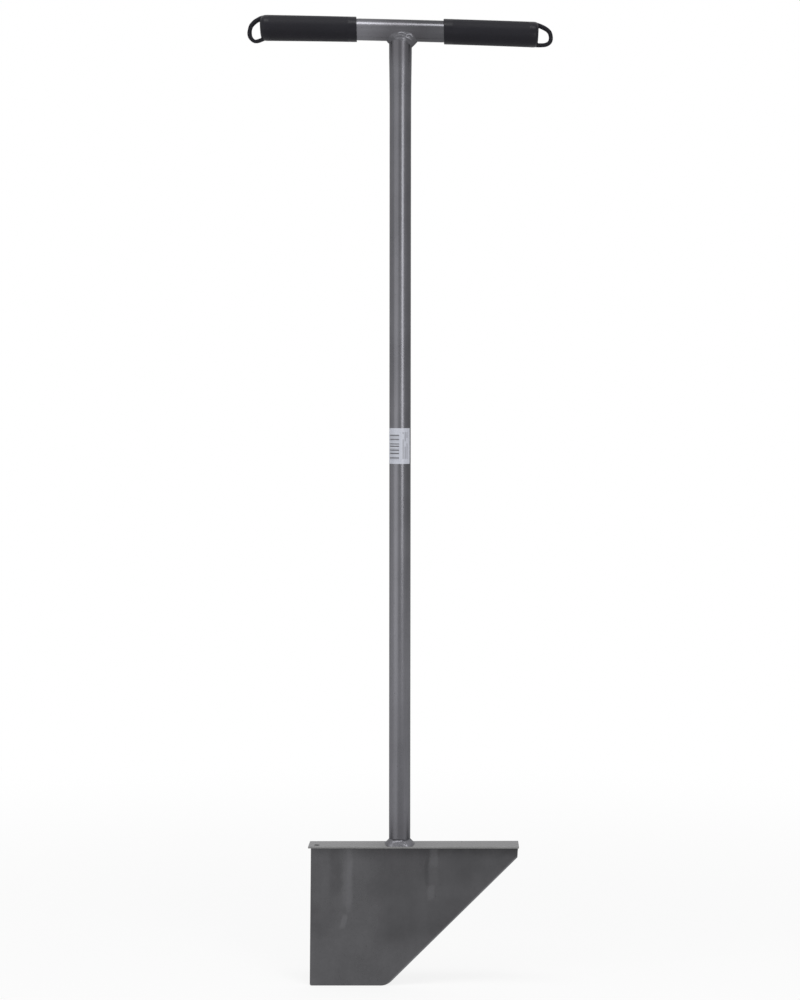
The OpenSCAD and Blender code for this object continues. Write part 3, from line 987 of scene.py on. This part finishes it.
def gripMesh(name, own):
    length, band, bore, fillet = own["end"] - own["inner"], grip["band"], grip["bore"], grip["fillet"]

    def place(run, depth, rise):  # run goes out along the bar from the end face
        return onBar(own["side"] * (own["end"] + run), depth, rise)

    def placeEnd(run, depth, rise):  # the end face leans out at the top
        return place(run + own["tilt"] * rise * max(0.0, 1 + run / band), depth, rise)

    def placeLip(run, depth, rise):  # the lip is cut a little askew
        share = max(0.0, 1 - (run + length) / (2 * band))
        return place(run + own["lipTilt"] * rise * share, depth, rise)

    def radius(run):
        return mix(own["lipRadius"], own["endRadius"], 1 + run / length)

    lip, tuck = -length, grip["tuck"] - band  # the sleeve runs in under the end cap
    field = [lip + band + grip["bandEdge"]] + [-share * length for share in grip["fieldShares"]] + [tuck]
    sleeve = [(lip, bore, fillet), (lip, radius(lip), grip["lip"])]
    sleeve += [(lip + band, radius(lip), grip["bandFillet"])]
    sleeve += [(run, radius(run) - grip["fieldDrop"], 0) for run in field] + [(tuck, bore, 0)]
    end = [(-band, bore, 0), (-band, radius(-band), fillet), (0, radius(0), own["rim"])]
    end += [(grip["dome"], 0, 0), (-grip["cap"], 0, 0), (-grip["cap"], bore, fillet)]
    cap = joined(revolved(rounded(end), placeEnd), eyeSkin(own["eye"], place))
    return buildMesh(name, *joined(revolved(rounded(sleeve), placeLip), remeshed(name, *cap)))


for name, node, own in (("leftGrip", "left_grip", leftGrip), ("rightGrip", "right_grip", rightGrip)):
    addPiece(name, gripMesh(name, own), [gripFinish(name + "Rubber", own)],
             node, grip["sharp"])

# studio: white floor, white surroundings and soft boxes, in metres
studio = {"floorRadius": 9.0, "floorSteps": 96, "floorDrop": 0.0002, "floorPaint": 0.9, "floorGlow": 0.8,
          "glowFrom": 0.3, "glowTo": 1.6, "worldLight": 0.55}


def rays(finish):  # 1 for what the camera, a reflection or a clear body sees
    path = finish.node("ShaderNodeLightPath", {}, {}, "Is Camera Ray")
    glossy = Wire(finish.tree, path.socket.node.outputs["Is Glossy Ray"])
    clear = Wire(finish.tree, path.socket.node.outputs["Is Transmission Ray"])
    return path.atLeast(glossy).atLeast(clear)


# the floor glows white to the camera, less so near the tool, where it keeps the shadow
floorFinish = Finish(bpy.data.materials.new("floorWhite"))
floorPaint = floorFinish.node("ShaderNodeBsdfDiffuse", {}, {"Color": grey(studio["floorPaint"])})
floorWhite = floorFinish.node("ShaderNodeEmission", {}, {"Color": grey(1.0), "Strength": 1.0})
floorFar = floorFinish.node("ShaderNodeVectorMath", {"operation": "LENGTH"}, {0: floorFinish.spot}, "Value")
floorFar = floorFinish.between(floorFar, studio["glowFrom"], studio["glowTo"])
floorGlow = rays(floorFinish) * (studio["floorGlow"] + (1 - studio["floorGlow"]) * floorFar)
floorMix = floorFinish.node("ShaderNodeMixShader", {}, {0: floorGlow, 1: floorPaint, 2: floorWhite})
floorFinish.node("ShaderNodeOutputMaterial", {}, {"Surface": floorMix})
floorRim = [(studio["floorRadius"] * math.cos(a), studio["floorRadius"] * math.sin(a), -studio["floorDrop"])
            for a in around(studio["floorSteps"])]
floorMesh = bpy.data.meshes.new("floor")
floorMesh.from_pydata(floorRim, [], [tuple(range(studio["floorSteps"]))])
floor = bpy.data.objects.new("floor", floorMesh)
floorMesh.materials.append(floorFinish.holder)
scene.collection.objects.link(floor)

scene.world = bpy.data.worlds.new("studioWorld")
sky = Finish(scene.world)
skyLight = sky.node("ShaderNodeBackground", {}, {"Color": grey(1.0), "Strength": studio["worldLight"]})
skyWhite = sky.node("ShaderNodeBackground", {}, {"Color": grey(1.0), "Strength": 1.0})
skyMix = sky.node("ShaderNodeMixShader", {}, {0: rays(sky), 1: skyLight, 2: skyWhite})
sky.node("ShaderNodeOutputWorld", {}, {"Surface": skyMix})


def softBox(name, spot, target, width, height, power):
    lamp = bpy.data.lights.new(name, "AREA")
    lamp.shape = "RECTANGLE"
    lamp.size, lamp.size_y, lamp.energy = width, height, power
    holder = bpy.data.objects.new(name, lamp)
    scene.collection.objects.link(holder)
    holder.location = spot
    holder.rotation_euler = (Vector(target) - Vector(spot)).to_track_quat("-Z", "Y").to_euler()
    holder.visible_camera = False


# soft boxes: place, what it faces, width, height and power
softBox("topBox", (-0.15, -0.695, 2.533), (0, 0, 0.95), 1.9, 0.55, 21.5)
softBox("leftBox", (-1.5, -1.62, 0.95), (0, 0, 0.6), 2.0, 1.9, 9.5)
softBox("stripBox", (0.70, -1.505, 0.81), (0, 0, 0.75), 0.55, 0.84, 6.3)

# camera, set to the view of the picture
view = {"spot": (0.00015, -2.656, 0.64085), "pitch": 0.04884, "roll": 0.0007, "lens": 91.9, "sensor": 36.0}
camera = bpy.data.objects.new("camera", bpy.data.cameras.new("camera"))
camera.data.lens = view["lens"]
camera.data.sensor_width = view["sensor"]
camera.matrix_world = (Matrix.Translation(view["spot"])
                       @ Matrix.Rotation(math.pi / 2 - view["pitch"], 4, "X")
                       @ Matrix.Rotation(view["roll"], 4, "Z"))
scene.collection.objects.link(camera)
scene.camera = camera
scene.view_settings.view_transform = "Standard"
print("studio set")
